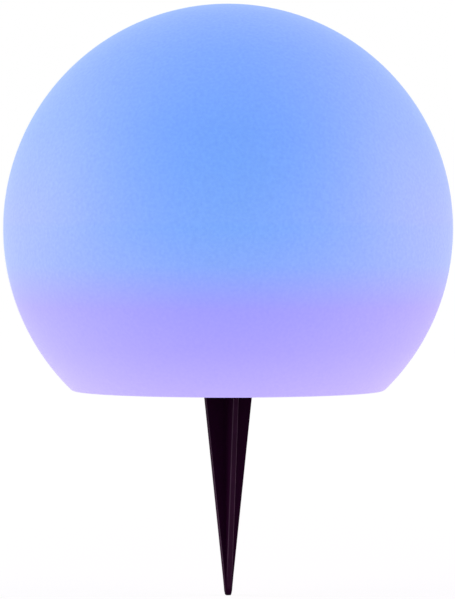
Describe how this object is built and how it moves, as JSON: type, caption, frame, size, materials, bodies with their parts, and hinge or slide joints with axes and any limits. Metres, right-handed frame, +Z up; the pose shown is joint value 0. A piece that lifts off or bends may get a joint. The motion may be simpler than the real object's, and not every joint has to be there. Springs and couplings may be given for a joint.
{
  "type": "garden globe light",
  "caption": "Ball-shaped garden light on a ground spike, with a solar-charged, colour-changing light unit closed into its flat base.",
  "frame": {"origin": "on the globe's axis at ground level, in the plane of the flat ring under the globe, where the spike enters the soil", "axes": "+Z up along the spike and through the top of the globe; the battery door is on the -Y side and the two push buttons are on the +Y side"},
  "size_m": [0.3, 0.3, 0.395],
  "materials": {
    "globe_polyethylene": "satin, translucent, lit from inside",
    "black_abs": "satin moulded",
    "white_abs": "satin moulded",
    "button_rubber": "matt",
    "silicone_rubber": "matt",
    "solar_glass": "clear",
    "clear_lens": "clear moulded",
    "silicon_wafer": "dark blue with fine lines",
    "panel_board": "matt",
    "circuit_board": "solder mask",
    "light_package": "moulded",
    "black_component": "moulded",
    "ferrite": "wound core",
    "plunger_plastic": "moulded",
    "aluminium_can": "bright",
    "cell_sleeve": "shrink sleeve",
    "nickel_strip": "nickel plated",
    "stainless_steel": "bright",
    "red_insulation": "satin",
    "black_insulation": "satin",
    "white_insulation": "satin"
  },
  "bodies": {
    "stake": {"ground_spike": "black_abs"},
    "base": {"base_housing": "black_abs", "battery_cell": "cell_sleeve", "battery_lead_negative": "black_insulation", "battery_lead_positive": "red_insulation", "board_screws": "stainless_steel", "button_seals": "silicone_rubber", "capacitor": "aluminium_can", "chip_resistors": "black_component", "colour_lights": "light_package", "contact_spring": "nickel_strip", "controller_chip": "black_component", "cover_gasket": "silicone_rubber", "cover_screws": "stainless_steel", "flange_screws": "stainless_steel", "globe_gasket": "silicone_rubber", "inductor": "ferrite", "lead_connectors": "plunger_plastic", "light_board": "circuit_board", "light_leads": "white_insulation", "light_lenses": "clear_lens", "main_board": "circuit_board", "mode_switch": "black_component", "negative_contact": "nickel_strip", "positive_contact": "nickel_strip", "power_switch": "black_component", "seal_retainers": "stainless_steel", "solar_backsheet": "panel_board", "solar_cells": "silicon_wafer", "solar_lead_negative": "black_insulation", "solar_lead_positive": "red_insulation", "solar_window": "solar_glass", "top_cover": "white_abs"},
    "globe": {"globe_shell": "globe_polyethylene", "clamp_ring": "white_abs"},
    "door": {"battery_door": "black_abs", "door_gasket": "silicone_rubber", "door_screws": "stainless_steel"},
    "power_key": {"power_button": "button_rubber", "power_plunger": "plunger_plastic"},
    "mode_key": {"mode_button": "button_rubber", "mode_plunger": "plunger_plastic"}
  },
  "joints": [
    {"name": "base_lift", "type": "slide", "parent": "stake", "child": "base", "axis": [0, 0, 1], "range_m": [0, 0.03]},
    {"name": "globe_lift", "type": "slide", "parent": "base", "child": "globe", "axis": [0, 0, 1], "range_m": [0, 0.07]},
    {"name": "battery_door_drop", "type": "slide", "parent": "base", "child": "door", "axis": [0, 0, -1], "range_m": [0, 0.02]},
    {"name": "power_button_press", "type": "slide", "parent": "base", "child": "power_key", "axis": [0, 0, 1], "range_m": [0, 0.0015], "stiffness_N_per_m": 1000, "springref_m": -0.001},
    {"name": "mode_button_press", "type": "slide", "parent": "base", "child": "mode_key", "axis": [0, 0, 1], "range_m": [0, 0.0015], "stiffness_N_per_m": 1000, "springref_m": -0.001}
  ]
}
